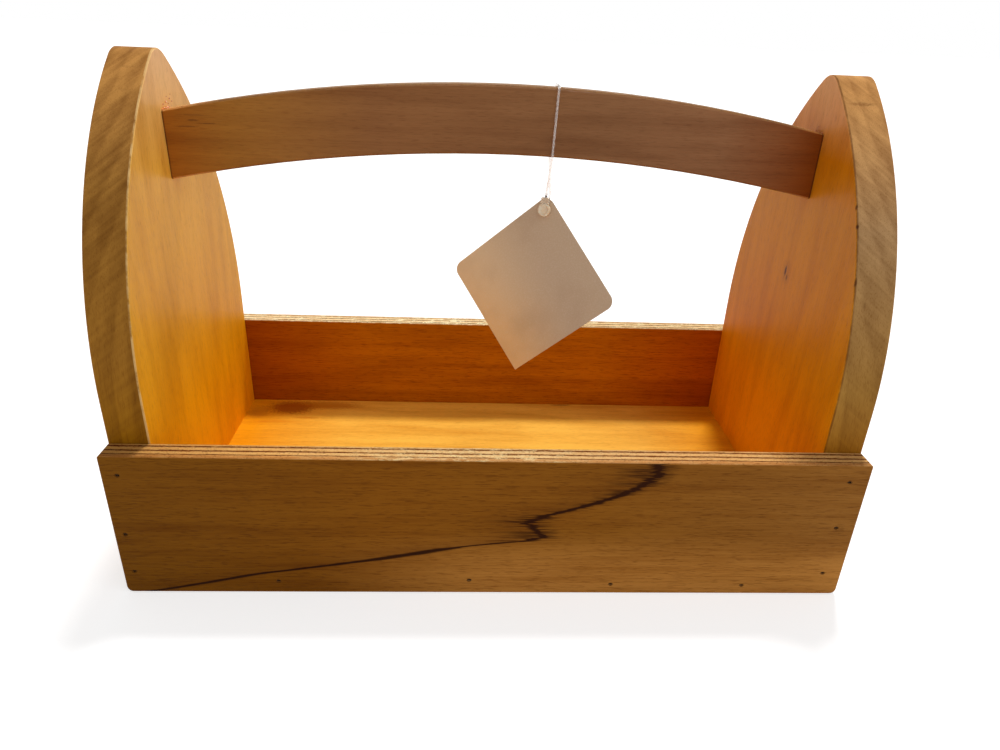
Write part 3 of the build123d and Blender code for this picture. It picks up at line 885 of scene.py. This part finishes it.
def finishPiece(mesh, name, material, body):
    bmesh.ops.remove_doubles(mesh, verts=mesh.verts, dist=1e-7)
    bmesh.ops.recalc_face_normals(mesh, faces=mesh.faces)
    data = bpy.data.meshes.new(name)
    for face in mesh.faces:
        face.smooth = True
    mesh.to_mesh(data)
    mesh.free()
    data.materials.append(material)
    piece = bpy.data.objects.new(name, data)
    scene.collection.objects.link(piece)
    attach(piece, body)
    return piece


def makeLock(spec, joint):
    front = Vector(joint["axis"]).normalized()
    right = Vector((-front.y, front.x, 0)).normalized()
    up = front.cross(right)
    if up.z < 0:
        right, up = -right, -up
    turn = Matrix((right, up, front)).transposed().to_4x4()
    place = Matrix.Translation(Vector(joint["pos_m"]) + front * spec["back"] / 1000) @ turn
    mesh = bmesh.new()
    rings = [mesh.verts.new((radius / 1000, 0, high / 1000)) for radius, high in spec["profile"]]
    edges = [mesh.edges.new(pair) for pair in zip(rings, rings[1:])]
    bmesh.ops.spin(mesh, geom=rings + edges, cent=(0, 0, 0), axis=(0, 0, 1), dvec=(0, 0, 0),
                   angle=2 * math.pi, steps=spec["steps"], use_merge=True, use_duplicate=False)
    bmesh.ops.transform(mesh, matrix=place, verts=mesh.verts)
    disc = finishPiece(mesh, "moulded_lock", nylonMaterial("moulded_lock"), "loop")
    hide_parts("loop_lock")
    mesh = bmesh.new()
    bmesh.ops.create_cube(mesh, size=1.0)
    bmesh.ops.scale(mesh, verts=mesh.verts, vec=[part / 1000 for part in spec["tab"]])
    bmesh.ops.bevel(mesh, geom=mesh.edges[:], offset=spec["tabBevel"] / 1000, offset_type="OFFSET",
                    segments=3, profile=0.5, affect="EDGES", material=-1, clamp_overlap=True)
    bmesh.ops.translate(mesh, verts=mesh.verts, vec=(0, spec["tabUp"] / 1000, spec["tabFront"] / 1000))
    bmesh.ops.transform(mesh, matrix=place, verts=mesh.verts)
    socket = finishPiece(mesh, "lock_socket", nylonMaterial("lock_socket"), "loop")


def makeFilament():
    # the clear filament on its own route, with its surface made smooth
    mesh = bmesh.new()
    mesh.from_mesh(nodes["tag_loop"].data)
    piece = finishPiece(mesh, "clear_filament", nylonMaterial("clear_filament"), "loop")
    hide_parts("tag_loop")


jointsByName = {joint["name"]: joint for joint in frame["record"]["behaviour"]["joints"]}
makeLock(lock, jointsByName["tag_swing"])
makeFilament()
print("tag and loop finished")

glue = {
    "colour": linear(226, 138, 44),
    "deep": linear(186, 96, 22),
    "squash": (0.55, 1.25, 0.75),
    # beads squeezed out over the handle's joints: side, Y, size and rise in millimetres
    "beads": [(-1, -4.6, 0.8, 0.2), (-1, -2.4, 1.1, 0.3), (-1, 0.3, 0.7, 0.2), (-1, 2.1, 1.0, 0.3),
              (-1, 4.4, 0.7, 0.2), (-1, -2.8, 0.40, 2.4), (-1, 0.8, 0.50, 3.1), (-1, 3.6, 0.35, 2.2),
              (-1, 5.6, 0.45, 4.2), (-1, 2.2, 0.30, 5.4), (-1, 8.0, 0.40, 2.8), (-1, 7.2, 0.30, 6.0),
              (1, -4.2, 0.7, 0.2), (1, -0.8, 0.9, 0.3), (1, 3.2, 0.7, 0.2), (1, 1.2, 0.35, 2.6)],
}


def makeGlue(spec):
    material, tree, shader, place = newMaterial("glue_beads")
    cloud = noise(tree, place, (0.0015, 0.0015, 0.0015), 2.0, 0.6)
    plug(tree, mixColour(tree, ramp(tree, cloud, 0.35, 0.65), spec["colour"], spec["deep"]),
         shader.inputs["Base Color"])
    plug(tree, ramp(tree, cloud, 0.3, 0.7, fromZero=0.22, toOne=0.36), shader.inputs["Roughness"])
    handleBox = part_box("handle")
    arcCentre = jointsByName["loop_slide"]["pos_m"][2]
    reach = handleBox[1].x
    top = math.sqrt((handleBox[1].z - arcCentre) ** 2 - reach ** 2) + arcCentre
    mesh = bmesh.new()
    for side, y, size, rise in spec["beads"]:
        ball = bmesh.ops.create_icosphere(mesh, subdivisions=3, radius=size / 1000)["verts"]
        bmesh.ops.scale(mesh, verts=ball, vec=spec["squash"])
        for vert in ball:
            # a drop sags a little towards the joint
            vert.co.z -= abs(vert.co.y) * 0.25
        bmesh.ops.translate(mesh, verts=ball, vec=(side * (reach - 0.0002), y / 1000, top + rise / 1000))
    finishPiece(mesh, "glue_beads", material, "tote")


makeGlue(glue)
print("glue beads made")

studio = {
    "floorSize": 20.0,
    "floorColour": (0.62, 0.62, 0.62, 1.0),
    "floorGlow": 0.62,  # seen by the camera and in reflections only
    "ambient": 0.40,
    # from where, strength and softness in degrees
    "suns": [((0.12, 0.40, 0.94), 2.18, 9.0), ((0.60, -0.55, 0.58), 0.60, 70.0)],
}


def seenDirectly(tree):
    path = addNode(tree, "ShaderNodeLightPath").outputs
    seen = calc(tree, "ADD", path["Is Camera Ray"], path["Is Glossy Ray"])
    return calc(tree, "ADD", seen, path["Is Transmission Ray"], clamp=True)


def makeFloor(spec):
    mesh = bmesh.new()
    bmesh.ops.create_grid(mesh, x_segments=1, y_segments=1, size=spec["floorSize"])
    bmesh.ops.translate(mesh, verts=mesh.verts, vec=(0, 0, cadBox[0].z))
    data = bpy.data.meshes.new("studio_floor")
    mesh.to_mesh(data)
    mesh.free()
    floor = bpy.data.objects.new("studio_floor", data)
    scene.collection.objects.link(floor)
    material, tree, shader = newMaterial("studio_floor")[:3]
    shader.inputs["Base Color"].default_value = spec["floorColour"]
    shader.inputs["Roughness"].default_value = 1.0
    shader.inputs["Specular IOR Level"].default_value = 0.0
    shader.inputs["Emission Color"].default_value = white
    glow = calc(tree, "MULTIPLY", seenDirectly(tree), spec["floorGlow"])
    plug(tree, glow, shader.inputs["Emission Strength"])
    data.materials.append(material)


def makeWorld(spec):
    world = bpy.data.worlds.new("studio")
    scene.world = world
    world.use_nodes = True
    tree = world.node_tree
    tree.nodes.clear()
    background = addNode(tree, "ShaderNodeBackground")
    background.inputs["Color"].default_value = white
    strength = ramp(tree, seenDirectly(tree), 0.0, 1.0, fromZero=spec["ambient"])
    plug(tree, strength, background.inputs["Strength"])
    output = addNode(tree, "ShaderNodeOutputWorld")
    tree.links.new(background.outputs[0], output.inputs["Surface"])


def makeSuns(spec):
    for index, (source, strength, softness) in enumerate(spec["suns"]):
        name = "sun_%d" % (index + 1)
        data = bpy.data.lights.new(name, "SUN")
        data.energy = strength
        data.angle = math.radians(softness)
        sun = bpy.data.objects.new(name, data)
        sun.rotation_euler = Vector(source).to_track_quat("Z", "Y").to_euler()
        scene.collection.objects.link(sun)


makeFloor(studio)
makeWorld(studio)
makeSuns(studio)
print("studio lit")
